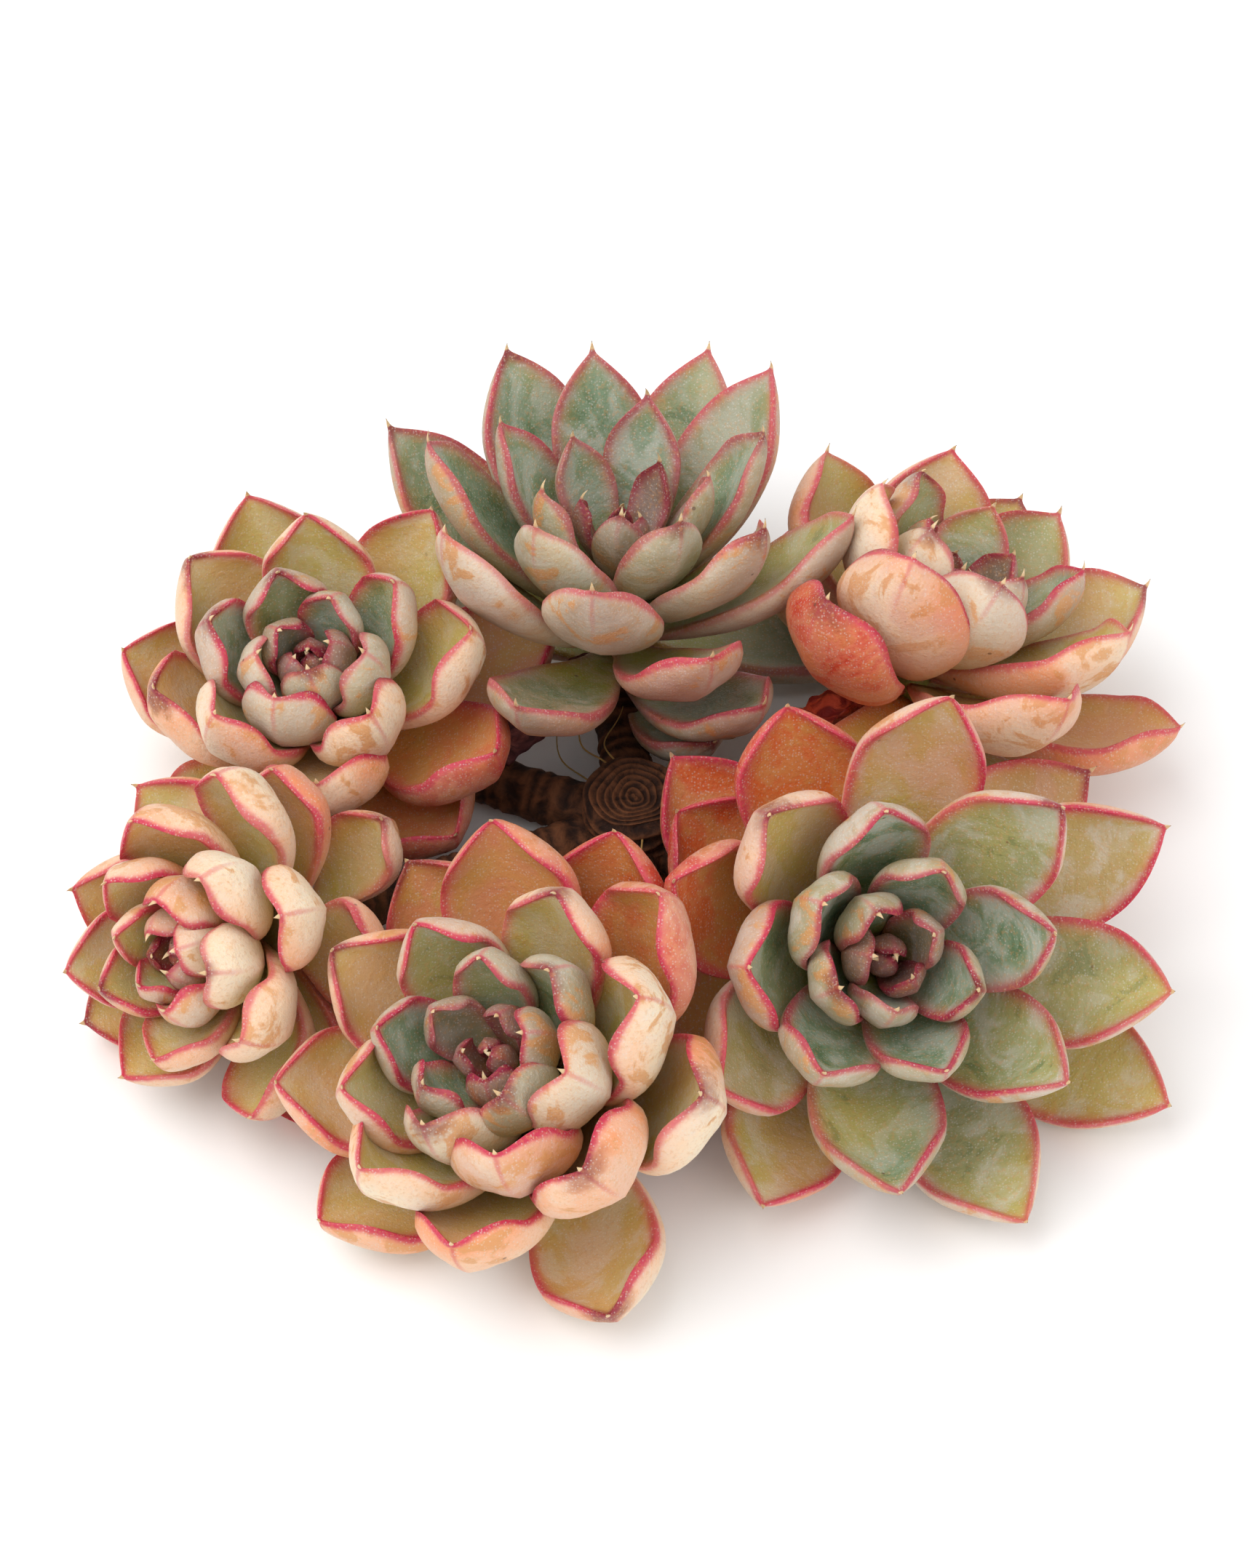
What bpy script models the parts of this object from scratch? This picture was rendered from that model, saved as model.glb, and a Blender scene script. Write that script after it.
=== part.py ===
"""A many-headed echeveria lifted out of its pot: six leafy rosettes on one short woody stem.

Units are metres, +Z is up. The clump rests on z = 0 on the cut end of its stem and on its lowest
leaves. Each rosette is a spiral of spoon-shaped leaves round its own axis: the young inner leaves
grow together into a heart, and the full-grown outer leaves are pieces of their own that snap off.
"""
import math
from dataclasses import dataclass, replace
from itertools import product

import bmesh
import bpy
from mathutils import Vector
from mathutils.bvhtree import BVHTree

MM = 0.001

# Leaves
LEAF_THICKNESS = 5.2 * MM
LEAF_GAP = 0.35 * MM
LEAF_SPACING = 0.55 * MM
BASE_WIDTH_SHARE = 0.17
BASE_THICKNESS_SHARE = 0.32
THICKEST_AT = 0.5
TIP_THICKNESS_SHARE = 0.35
WIDEST_AT = 0.62
DISH_SHARE = 0.2
BACK_ROUNDNESS = 0.62
FOOT_ROUNDNESS = 1.3
TIP_REACH = 2.2
TIP_ROUNDNESS = 0.75
CURL_LATENESS = 1.3
SMALLEST_LEAF_SHARE = 0.34
FULL_GROWN_AT = 0.6
GROWTH_POWER = 0.8
YOUNG_THICKNESS_SHARE = 0.55
PATH_STEPS = 24
LOWER_ACROSS = (0.6, 0.0, -0.6)
LOOSE_STATIONS = (0.0, 0.28, 0.5, 0.68, 0.82, 0.93)
LOOSE_UPPER_POINTS = 3
HEART_UPPER_POINTS = 1
HEART_STATIONS = (0.0, 0.32, 0.62, 0.86)

# Crowns, the short axes that leaves grow from
CROWN_RADIUS = 3.0 * MM
CROWN_TOP_RADIUS = 1.2 * MM
CROWN_SIDES = 12
CROWN_SHOULDER_SHARE = 0.35
LOOSE_FOOT_RADIUS = CROWN_RADIUS + 1.2 * MM
YOUNGEST_FOOT_SHARE = 0.3
OLDEST_FOOT_SHARE = 0.7
CROWN_FOOT = 1.6 * MM

# Woody stem
STUMP_PLACE = Vector((-0.1, 6.7, 0.0)) * MM
STUMP_RADIUS = 7.6 * MM
STUMP_HEIGHT = 13.0 * MM
STUMP_SIDES = 20
SCAR_SPACING = 4.4 * MM
SCAR_DEPTH = 0.5 * MM
BRANCH_RADIUS = 3.0 * MM
BRANCH_GAP = 0.35 * MM
BRANCH_ROOT_RADIUS = 4.0 * MM
BRANCH_SIDES = 10
BRANCH_RINGS = 6
BRANCH_START_SHARE = 0.42
BRANCH_RISE_SHARE = 0.45

# How a crowded leaf gives way
LEAN_TRIES = tuple(step * 3.0 for step in range(-22, 15))
TURN_TRIES = tuple(step * 6.0 for step in range(-5, 6))
LENGTH_TRIES = (1.0, 0.9, 0.8, 0.7, 0.6, 0.5, 0.4)
LENGTH_COST = 90.0
TURN_COST = 0.8

# Old leaves sag until they touch the ground or a neighbour
SAGGING_LEAVES = 3
SAG_STEP = 1.5
MOST_SAG = 24.0


@dataclass
class Rosette:
    """One head. Lengths are in millimetres and angles in degrees.

    Leaves on its open side, away from the crowd, lean out further by open_lean and are longer by
    the share open_length. Those on the crowded side stand up by as much.
    """
    name: str
    heart: tuple
    tilt: tuple
    leaf_length: float
    leaf_width: float
    leaf_count: int
    loose_leaves: int
    first_turn: float
    turn_step: float
    inner_lean: float
    outer_lean: float
    curl: float
    open_side: float
    open_lean: float
    open_length: float

    def frame(self):
        """The heart's centre, the axis and two directions square to it."""
        right, away = (math.sin(math.radians(angle)) for angle in self.tilt)
        axis = Vector((right, away, math.sqrt(1 - right ** 2 - away ** 2)))
        side = Vector((0, 1, 0)).cross(axis).normalized()
        return Vector(self.heart) * MM, axis, side, axis.cross(side)

    def crown_length(self):
        return LEAF_SPACING * self.leaf_count + CROWN_FOOT


ROSETTES = (
    Rosette("back_rosette", (-2.2, 38.4, 25.1), (2.0, 9.5), 41.0, 17.5, 25, 8,
            184.0, -138.7, 32.0, 72.0, 26.0, 0.0, 0.0, 0.0),
    Rosette("left_rosette", (-45.0, 17.9, 24.2), (-4.6, -12.7), 29.5, 19.0, 27, 8,
            227.0, 138.1, 31.0, 102.0, 54.0, 51.0, 10.0, 0.15),
    Rosette("far_left_rosette", (-58.7, -28.8, 22.4), (-37.5, -36.4), 24.5, 15.5, 25, 6,
            150.0, 138.7, 26.0, 88.0, 45.0, 0.0, 0.0, 0.0),
    Rosette("front_rosette", (-17.0, -49.5, 23.8), (-21.3, -20.0), 34.0, 20.0, 28, 10,
            48.0, -138.1, 42.0, 83.0, 54.0, 82.0, 14.0, 0.0),
    Rosette("right_rosette", (32.2, -31.3, 23.0), (12.0, -37.8), 38.5, 19.5, 29, 9,
            320.0, -137.7, 24.0, 93.0, 35.0, 354.0, 9.0, 0.2),
    Rosette("back_right_rosette", (43.4, 30.5, 23.3), (24.0, 20.0), 33.5, 20.5, 23, 8,
            244.0, 137.5, 40.0, 80.0, 41.0, 330.0, 14.0, 0.1),
)

LEAF_GREEN = (0.36, 0.40, 0.22)
LEAF_BLUSH = (0.62, 0.38, 0.27)
BARK_BROWN = (0.16, 0.10, 0.06)
WITHERED_BROWN = (0.33, 0.17, 0.10)


@dataclass
class Withered:
    """A dried leaf that still hangs from the foot of a rosette's crown."""
    name: str
    rosette: str
    turn: float
    lean: float
    length: float
    width: float
    curl: float


WITHERED = (
    Withered("papery_leaf", "front_rosette", 120.0, 115.0, 27.0, 13.0, 30.0),
    Withered("shrivelled_leaf", "back_rosette", -140.0, 103.0, 22.0, 8.0, 5.0),
    Withered("curled_leaf", "back_right_rosette", 215.0, 104.0, 22.0, 9.0, 10.0),
)
WITHERED_THICKNESS = 1.2 * MM


@dataclass
class Leaf:
    """One spoon-shaped leaf, in metres and radians."""
    root: Vector
    axis: Vector
    out: Vector
    length: float
    half_width: float
    thickness: float
    lean: float
    curl: float


def new_collection(name):
    group = bpy.data.collections.new(name)
    bpy.context.scene.collection.children.link(group)
    return group


def new_material(name, color, roughness):
    material = bpy.data.materials.new(name)
    material.use_nodes = True
    shader = material.node_tree.nodes["Principled BSDF"]
    shader.inputs["Base Color"].default_value = (*color, 1.0)
    shader.inputs["Roughness"].default_value = roughness
    return material


def loft(rings):
    """(points, faces) of the closed skin over a row of rings. A ring of one point is a tip."""
    points = [point for ring in rings for point in ring]
    faces = []
    start = 0
    for ring, following in zip(rings, rings[1:]):
        count = len(ring)
        after = start + count
        for k in range(count):
            after_k = (k + 1) % count
            if len(following) == 1:
                faces.append((start + k, start + after_k, after))
            else:
                faces.append((start + k, start + after_k, after + after_k, after + k))
        start = after
    faces.append(tuple(reversed(range(len(rings[0])))))
    if len(rings[-1]) > 1:
        faces.append(tuple(range(start, start + len(rings[-1]))))
    return points, faces


def joined(shells):
    """One (points, faces) from several."""
    points, faces = [], []
    for shell_points, shell_faces in shells:
        first = len(points)
        points.extend(shell_points)
        faces.extend(tuple(first + index for index in face) for face in shell_faces)
    return points, faces


def mesh_object(name, shell, group, material):
    mesh = bpy.data.meshes.new(name)
    points, faces = shell
    mesh.from_pydata(points, [], faces)
    tidy = bmesh.new()
    tidy.from_mesh(mesh)
    bmesh.ops.recalc_face_normals(tidy, faces=tidy.faces)
    tidy.to_mesh(mesh)
    tidy.free()
    mesh.materials.append(material)
    obj = bpy.data.objects.new(name, mesh)
    group.objects.link(obj)
    return obj


def unite(obj, helper):
    helper.hide_render = True
    helper.display_type = "WIRE"
    union = obj.modifiers.new("union", "BOOLEAN")
    union.operation = "UNION"
    union.solver = "EXACT"
    union.use_self = True
    union.object = helper


def width_share(along):
    """Half width at a share of the leaf's length: narrow foot, widest past the middle, round end."""
    if along <= WIDEST_AT:
        rise = math.sin(math.pi / 2 * along / WIDEST_AT) ** FOOT_ROUNDNESS
        return BASE_WIDTH_SHARE + (1 - BASE_WIDTH_SHARE) * rise
    past = (along - WIDEST_AT) / (1 - WIDEST_AT)
    return (1 - past ** TIP_REACH) ** TIP_ROUNDNESS


def thickness_share(along):
    if along <= THICKEST_AT:
        rise = math.sin(math.pi / 2 * along / THICKEST_AT)
        return BASE_THICKNESS_SHARE + (1 - BASE_THICKNESS_SHARE) * rise
    past = (along - THICKEST_AT) / (1 - THICKEST_AT)
    return 1 - (1 - TIP_THICKNESS_SHARE) * past ** 2


def lean_at(leaf, along):
    return leaf.lean - leaf.curl * along ** CURL_LATENESS


def centre_line(leaf):
    """PATH_STEPS + 1 points from the leaf's foot to its tip."""
    path = [leaf.root]
    for step in range(PATH_STEPS):
        lean = lean_at(leaf, (step + 0.5) / PATH_STEPS)
        ahead = leaf.axis * math.cos(lean) + leaf.out * math.sin(lean)
        path.append(path[-1] + ahead * leaf.length / PATH_STEPS)
    return path


def leaf_rings(leaf, stations, upper_points, grow=0.0):
    """Cross-sections from foot to tip. grow fattens the leaf all round, to keep a gap."""
    side = leaf.axis.cross(leaf.out)
    path = centre_line(leaf)
    upper_across = [-1 + 2 * (k + 1) / (upper_points + 1) for k in range(upper_points)]
    rings = []
    for along in stations:
        lean = lean_at(leaf, along)
        up = leaf.axis * math.sin(lean) - leaf.out * math.cos(lean)
        half = leaf.half_width * width_share(along)
        deep = leaf.thickness * thickness_share(along)
        outline = [(-1, 0)]
        outline += [(x, grow) for x in upper_across]
        outline += [(1, 0)]
        outline += [(x, -deep * (1 - x * x) ** BACK_ROUNDNESS - grow) for x in LOWER_ACROSS]
        middle = path[round(along * PATH_STEPS)]
        rings.append([
            middle + side * (x * (half + grow)) + up * (half * DISH_SHARE * x * x + z)
            for x, z in outline
        ])
    rings.append([path[-1] + (path[-1] - path[-2]).normalized() * grow])
    return rings


def leaf_on(rosette, order):
    """Leaf number order of a rosette, 0 at the heart, as the spiral sets it."""
    heart, axis, side, other = rosette.frame()
    age = order / (rosette.leaf_count - 1)
    turn = math.radians(rosette.first_turn + rosette.turn_step * order)
    out = side * math.cos(turn) + other * math.sin(turn)
    size = SMALLEST_LEAF_SHARE + (1 - SMALLEST_LEAF_SHARE) * min(1.0, age / FULL_GROWN_AT) ** GROWTH_POWER
    openness = math.cos(turn - math.radians(rosette.open_side)) * age
    lean = rosette.inner_lean + (rosette.outer_lean - rosette.inner_lean) * age
    loose = order >= rosette.leaf_count - rosette.loose_leaves
    inner_foot_share = YOUNGEST_FOOT_SHARE + (OLDEST_FOOT_SHARE - YOUNGEST_FOOT_SHARE) * age
    start = LOOSE_FOOT_RADIUS if loose else CROWN_RADIUS * inner_foot_share
    return Leaf(
        root=heart - axis * (LEAF_SPACING * order) + out * start,
        axis=axis,
        out=out,
        length=rosette.leaf_length * MM * size * (1 + rosette.open_length * openness),
        half_width=rosette.leaf_width * MM / 2 * size,
        thickness=LEAF_THICKNESS * (YOUNG_THICKNESS_SHARE + (1 - YOUNG_THICKNESS_SHARE) * size),
        lean=math.radians(lean + rosette.open_lean * openness),
        curl=math.radians(rosette.curl),
    )


def crown_rings(rosette):
    heart, axis, side, other = rosette.frame()
    rings = []
    for share, radius in ((0, CROWN_TOP_RADIUS), (CROWN_SHOULDER_SHARE, CROWN_RADIUS), (1, CROWN_RADIUS)):
        centre = heart - axis * (share * rosette.crown_length())
        rings.append(circle(centre, side, other, radius, CROWN_SIDES))
    return rings


def circle(centre, side, other, radius, count):
    turns = (2 * math.pi * k / count for k in range(count))
    return [centre + (side * math.cos(turn) + other * math.sin(turn)) * radius for turn in turns]


def branch_rings(rosette):
    """A branch from inside the stump that meets the underside of a rosette's crown."""
    heart, axis, _, _ = rosette.frame()
    end = heart - axis * (rosette.crown_length() + BRANCH_GAP)
    start = STUMP_PLACE + Vector((0, 0, STUMP_HEIGHT * BRANCH_START_SHARE))
    bend = end - axis * ((end - start).length * BRANCH_RISE_SHARE)
    bend.z = max(bend.z, BRANCH_ROOT_RADIUS)
    across = Vector((0, 0, 1)).cross(end - start).normalized()
    rings = []
    for k in range(BRANCH_RINGS):
        share = k / (BRANCH_RINGS - 1)
        centre = start * (1 - share) ** 2 + bend * (2 * share * (1 - share)) + end * share ** 2
        ahead = ((bend - start) * (1 - share) + (end - bend) * share).normalized()
        if share == 1:
            ahead = axis
        across = (across - ahead * across.dot(ahead)).normalized()
        radius = BRANCH_ROOT_RADIUS + (BRANCH_RADIUS - BRANCH_ROOT_RADIUS) * share
        rings.append(circle(centre, across, ahead.cross(across), radius, BRANCH_SIDES))
    return rings


def stump_rings():
    """The old main stem: rings of leaf scars up to a flat cut end."""
    x, y = Vector((1, 0, 0)), Vector((0, 1, 0))
    heights = [0.0]
    while heights[-1] + SCAR_SPACING / 2 < STUMP_HEIGHT - SCAR_SPACING / 4:
        heights.append(heights[-1] + SCAR_SPACING / 2)
    heights.append(STUMP_HEIGHT)
    rings = []
    for k, height in enumerate(heights):
        radius = STUMP_RADIUS - (SCAR_DEPTH if k % 2 else 0.0)
        rings.append(circle(STUMP_PLACE + Vector((0, 0, height)), x, y, radius, STUMP_SIDES))
    return rings


def withered_on(rosette, withered):
    heart, axis, side, other = rosette.frame()
    turn = math.radians(withered.turn)
    out = side * math.cos(turn) + other * math.sin(turn)
    return Leaf(
        root=heart - axis * (LEAF_SPACING * (rosette.leaf_count + 1)) + out * LOOSE_FOOT_RADIUS,
        axis=axis,
        out=out,
        length=withered.length * MM,
        half_width=withered.width * MM / 2,
        thickness=WITHERED_THICKNESS,
        lean=math.radians(withered.lean),
        curl=math.radians(withered.curl),
    )


def loose_shell(leaf, grow=0.0):
    return loft(leaf_rings(leaf, LOOSE_STATIONS, LOOSE_UPPER_POINTS, grow))


def tree_of(shell):
    return BVHTree.FromPolygons(*shell)


def is_clear(leaf, blocks):
    shell = loose_shell(leaf, LEAF_GAP)
    if min(point.z for point in shell[0]) < LEAF_GAP / 2:
        return False
    tree = tree_of(shell)
    return not any(tree.overlap(block) for block in blocks)


def settle(leaf, blocks):
    """Lean, turn or shorten a leaf as little as keeps it clear of what grew before it."""
    tries = sorted(
        product(LENGTH_TRIES, LEAN_TRIES, TURN_TRIES),
        key=lambda change: (
            (1 - change[0]) * LENGTH_COST + abs(change[1]) + abs(change[2]) * TURN_COST
        ),
    )
    out = leaf.out
    side = leaf.axis.cross(out)
    for shorter, lean, turn in tries:
        angle = math.radians(turn)
        tried = replace(
            leaf,
            out=out * math.cos(angle) + side * math.sin(angle),
            lean=leaf.lean + math.radians(lean),
            length=leaf.length * shorter,
        )
        if is_clear(tried, blocks):
            return tried
    return replace(leaf, length=leaf.length * LENGTH_TRIES[-1])


def sagged(leaf, blocks):
    """Lower an old leaf until it would touch the ground or a neighbour."""
    for step in range(round(MOST_SAG / SAG_STEP)):
        lower = replace(leaf, lean=leaf.lean + math.radians(SAG_STEP))
        if not is_clear(lower, blocks):
            break
        leaf = lower
    return leaf


def main():
    for obj in list(bpy.data.objects):
        bpy.data.objects.remove(obj, do_unlink=True)
    parts = new_collection("echeveria_clump")
    helpers = new_collection("echeveria_clump_helpers")
    green = new_material("green_leaf", LEAF_GREEN, 0.6)
    blush = new_material("blushed_leaf", LEAF_BLUSH, 0.6)
    bark = new_material("woody_bark", BARK_BROWN, 0.9)
    dry = new_material("withered_leaf", WITHERED_BROWN, 0.8)

    stump = loft(stump_rings())
    branches = joined([loft(branch_rings(rosette)) for rosette in ROSETTES])
    stem = mesh_object("woody_stem", stump, parts, bark)
    unite(stem, mesh_object("branches", branches, helpers, bark))
    blocks = [tree_of(stump), tree_of(branches)]

    for rosette in ROSETTES:
        crown = loft(crown_rings(rosette))
        first_loose = rosette.leaf_count - rosette.loose_leaves
        inner = joined([
            loft(leaf_rings(leaf_on(rosette, order), HEART_STATIONS, HEART_UPPER_POINTS))
            for order in range(first_loose)
        ])
        heart = mesh_object(rosette.name + "_heart", crown, parts, green)
        unite(heart, mesh_object(rosette.name + "_inner_leaves", inner, helpers, green))
        blocks += [tree_of(crown), tree_of(inner)]

    for rank in range(max(rosette.loose_leaves for rosette in ROSETTES)):
        for rosette in ROSETTES:
            if rank >= rosette.loose_leaves:
                continue
            order = rosette.leaf_count - rosette.loose_leaves + rank
            leaf = settle(leaf_on(rosette, order), blocks)
            if rank >= rosette.loose_leaves - SAGGING_LEAVES:
                leaf = sagged(leaf, blocks)
            shell = loose_shell(leaf)
            mesh_object(f"{rosette.name}_leaf_{rank + 1:02d}", shell, parts, blush)
            blocks.append(tree_of(shell))

    by_name = {rosette.name: rosette for rosette in ROSETTES}
    for withered in WITHERED:
        leaf = settle(withered_on(by_name[withered.rosette], withered), blocks)
        shell = loose_shell(sagged(leaf, blocks))
        mesh_object(withered.name, shell, parts, dry)
        blocks.append(tree_of(shell))


main()
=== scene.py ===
"""The looks of a many-headed echeveria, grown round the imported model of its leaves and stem.

Units are metres. The spirals of leaves repeat the design's own rule. A full-grown leaf that leans,
turns or is shorter than its rule says is read back from its CAD node, so every fine leaf lies where
its plain one does.
"""
import math
from dataclasses import dataclass, replace
from itertools import product

import bpy
import numpy as np
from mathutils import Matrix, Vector
from mathutils.bvhtree import BVHTree


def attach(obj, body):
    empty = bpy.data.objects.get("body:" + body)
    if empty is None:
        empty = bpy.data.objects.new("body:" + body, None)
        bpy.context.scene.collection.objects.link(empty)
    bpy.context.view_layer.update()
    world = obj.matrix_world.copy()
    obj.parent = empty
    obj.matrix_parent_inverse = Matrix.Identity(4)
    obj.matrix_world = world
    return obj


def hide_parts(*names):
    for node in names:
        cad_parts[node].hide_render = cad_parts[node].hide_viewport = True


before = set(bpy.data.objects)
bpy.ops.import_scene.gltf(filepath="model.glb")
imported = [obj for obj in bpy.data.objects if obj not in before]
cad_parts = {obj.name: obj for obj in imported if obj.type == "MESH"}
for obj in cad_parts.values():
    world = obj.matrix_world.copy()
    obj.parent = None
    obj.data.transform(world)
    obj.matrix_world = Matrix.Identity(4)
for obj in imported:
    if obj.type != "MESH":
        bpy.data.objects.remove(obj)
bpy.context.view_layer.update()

MM = 0.001
ROOT = "root"

# The design's rule for leaves and stem
LEAF_THICKNESS = 5.2 * MM
LEAF_SPACING = 0.55 * MM
WIDEST_AT = 0.62
SMALLEST_LEAF_SHARE = 0.34
FULL_GROWN_AT = 0.6
CURL_POWER = 1.3
GROWTH_POWER = 0.8
YOUNG_THICKNESS_SHARE = 0.15
PATH_STEPS = 24
YOUNGEST_FOOT_SHARE = 0.3
FOOT_SHARE_GROWTH = 0.4
CROWN_RADIUS = 3.0 * MM
CROWN_FOOT = 1.6 * MM
LOOSE_FOOT_RADIUS = CROWN_RADIUS + 1.2 * MM
STUMP_PLACE = np.array((-0.1, 6.7, 0.0)) * MM
STUMP_RADIUS = 7.6 * MM
STUMP_HEIGHT = 13.0 * MM
BRANCH_RADIUS = 3.0 * MM
BRANCH_ROOT_RADIUS = 4.0 * MM
BRANCH_START_SHARE = 0.42
BRANCH_RISE_SHARE = 0.45

# The bud: leaves too young for the design, each smaller, steeper and nearer the axis than the next
BUD_LEAVES = 3
BUD_SHRINK = 0.8
BUD_LEAN_STEP = 5.0
BUD_FOOT_STEP = 0.08
LEAST_FOOT_SHARE = 0.05

# The fine leaf. The mucro is the small spike at its tip. Stations lie along a leaf and points round
# it. TIP_HOOK and TWIST are in degrees, and FAR_FROM_KEEL in the millimetres that the skin reads.
FOOT_WIDTH_SHARE = 0.3
FOOT_FLARE = 1.3
SHOULDER_POWER = 2.2
FOOT_THICKNESS_SHARE = 0.36
THICKEST_AT = 0.52
RIM_RADIUS = 0.35 * MM
RIM_RISE = 0.2
TIP_FOLD = 1.2
TIP_HOOK = (15, 45)
BOW_SHARE = 0.03
TWIST = 7
KEEL_DEPTH = 0.22
KEEL_WIDTH = 0.2
FAR_FROM_KEEL = 9.0
MUCRO_RADIUS = 0.42 * MM
MUCRO_END_SHARE = 0.12
MUCRO_STATIONS = 5
FULL_STATIONS = 30
BUD_STATIONS = 22
FULL_STATIONS_FROM = 7
STATION_POWER = 1.35
LINE_STEPS = 96
UPPER_POINTS = 17
LOWER_POINTS = 19

# Old leaves tucked in where there is room, below those that the design sets. Each is tried at these
# shares of its length, then these leans and turns in degrees, in this order.
TUCKED_LEAVES = 8
TUCKED_STEP = 0.9 * MM
TUCKED_GAP = 0.35 * MM
TUCKED_STATIONS = 12
LEAST_TUCKED_HEIGHT = 0.5 * MM
TUCKED_LENGTHS = (0.88, 0.7, 0.52)
TUCKED_LEANS = (-10, -22, 0, -34, 10, -46, -58)
TUCKED_TURNS = (0, 14, -14, 28, -28, 42, -42)

# The glow of red leaves round the stump, felt at this share of a leaf's length
WARM_PLACE = np.array((3.0, 1.0)) * MM
WARM_REACH = 33.0 * MM
WARM_AT = 0.6

# Stem, dried leaves and root hairs
SCAR_SPACING = 2.6 * MM
STUMP_SCAR_SPACING = 2.2 * MM
GROWTH_RING_SPACING = 1.15 * MM
STUMP_TOP_SHARE = 0.88
CROWN_RIDGE = 0.18 * MM
CROWN_RIDGE_SPACING = 1.3 * MM
CROWN_STATIONS = 24
CROWN_POINTS = 28
BRANCH_STATIONS = 90
BRANCH_POINTS = 36
STUMP_LEVELS = 60
STUMP_TOP_RINGS = 34
STUMP_POINTS = 72
STEM_SEED = 71
DRY_SEED = 90
DRY_STATIONS = 46
DRY_POINTS = 25
DRY_CREASES = 6
HAIR_COUNT = 16
HAIR_STATIONS = 26
HAIR_POINTS = 7
GROUND_GAP = 0.4 * MM

# The view
TARGET = Vector((-1.1, 2.7, 17.0)) * MM
CAMERA_ELEVATION = 50.0
CAMERA_DISTANCE = 0.75
IMAGE_HEIGHT = 2156
FOCAL_PIXELS = 7350
SHIFT_PIXELS = 17
SENSOR_HEIGHT = 36.0

# The stage, in metres and watts
FLOOR_REACH = 6.0
FLOOR_GREY = 0.9
FLOOR_ROUGHNESS = 0.9
SKY_STRENGTH = 0.85
KEY_LIGHT = {"place": (-0.55, -0.1, 1.0), "size": 1.1, "power": 9.0}
FILL_LIGHT = {"place": (0.7, -0.7, 0.6), "size": 0.8, "power": 3.0}


@dataclass
class Rosette:
    """One head, as in the design. Lengths are in millimetres and angles in degrees."""
    name: str
    heart: tuple
    tilt: tuple
    leaf_length: float
    leaf_width: float
    leaf_count: int
    loose_leaves: int
    first_turn: float
    turn_step: float
    inner_lean: float
    outer_lean: float
    curl: float
    open_side: float
    open_lean: float
    open_length: float

    def frame(self):
        """The heart's centre, the axis and two directions square to it."""
        right, away = (math.sin(math.radians(angle)) for angle in self.tilt)
        axis = np.array((right, away, math.sqrt(1 - right ** 2 - away ** 2)))
        side = np.cross((0, 1, 0), axis)
        side /= np.linalg.norm(side)
        return np.array(self.heart) * MM, axis, side, np.cross(axis, side)

    def crown_length(self):
        return LEAF_SPACING * self.leaf_count + CROWN_FOOT


@dataclass
class Look:
    """How the leaves of one head differ. Pairs run from the heart to the outermost leaves.

    tip_power is higher for longer points. rim_inset is how wide the face is, as a share of the back.
    cup is how hollow the face is, fatness scales the thickness, and mucro is the spike's length in
    millimetres. The others are strengths of colour, and glow is felt only near the stump.
    """
    tip_power: float
    rim_inset: float
    cup: tuple
    fatness: float
    green: tuple
    warm: float
    glow: float
    crimson: float
    bloom: float
    mucro: float


ROSETTES = (
    Rosette("back_rosette", (-2.2, 38.4, 25.1), (2.0, 9.5), 41.0, 17.5, 25, 8,
            184.0, -138.7, 32.0, 72.0, 26.0, 0.0, 0.0, 0.0),
    Rosette("left_rosette", (-45.0, 17.9, 24.2), (-4.6, -12.7), 29.5, 19.0, 27, 8,
            227.0, 138.1, 31.0, 102.0, 54.0, 51.0, 10.0, 0.15),
    Rosette("far_left_rosette", (-58.7, -28.8, 22.4), (-37.5, -36.4), 24.5, 15.5, 25, 6,
            150.0, 138.7, 26.0, 88.0, 45.0, 0.0, 0.0, 0.0),
    Rosette("front_rosette", (-17.0, -49.5, 23.8), (-21.3, -20.0), 34.0, 20.0, 28, 10,
            48.0, -138.1, 42.0, 83.0, 54.0, 82.0, 14.0, 0.0),
    Rosette("right_rosette", (32.2, -31.3, 23.0), (12.0, -37.8), 38.5, 19.5, 29, 9,
            320.0, -137.7, 24.0, 93.0, 35.0, 354.0, 9.0, 0.2),
    Rosette("back_right_rosette", (43.4, 30.5, 23.3), (24.0, 20.0), 33.5, 20.5, 23, 8,
            244.0, 137.5, 40.0, 80.0, 41.0, 330.0, 14.0, 0.1),
)

LOOKS = {
    "back_rosette": Look(1.0, 0.97, (1.2, 0.9), 0.8, (1.0, 0.75), 0.0, 0.2, 0.8, 0.5, 1.7),
    "left_rosette": Look(0.85, 0.93, (1.8, 1.3), 0.95, (0.8, 0.05), 0.14, 1.2, 1.0, 0.4, 1.1),
    "far_left_rosette": Look(0.92, 0.95, (1.5, 1.1), 0.9, (0.5, 0.15), 0.2, 0.6, 1.0, 0.3, 1.2),
    "front_rosette": Look(0.82, 0.92, (1.9, 1.4), 0.98, (0.9, 0.1), 0.12, 1.5, 1.0, 0.4, 1.1),
    "right_rosette": Look(0.9, 0.95, (1.5, 1.2), 0.92, (1.0, 0.55), 0.0, 1.1, 0.95, 0.6, 1.4),
    "back_right_rosette": Look(0.88, 0.94, (1.4, 1.0), 0.98, (0.7, 0.1), 0.3, 0.9, 0.9, 0.35, 1.3),
}


@dataclass
class Leaf:
    """One spoon-shaped leaf, in metres and radians."""
    anchor: np.ndarray
    axis: np.ndarray
    out: np.ndarray
    foot: float
    length: float
    half_width: float
    thickness: float
    lean: float
    curl: float
    age: float

    def root(self):
        return self.anchor + self.out * self.foot


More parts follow.
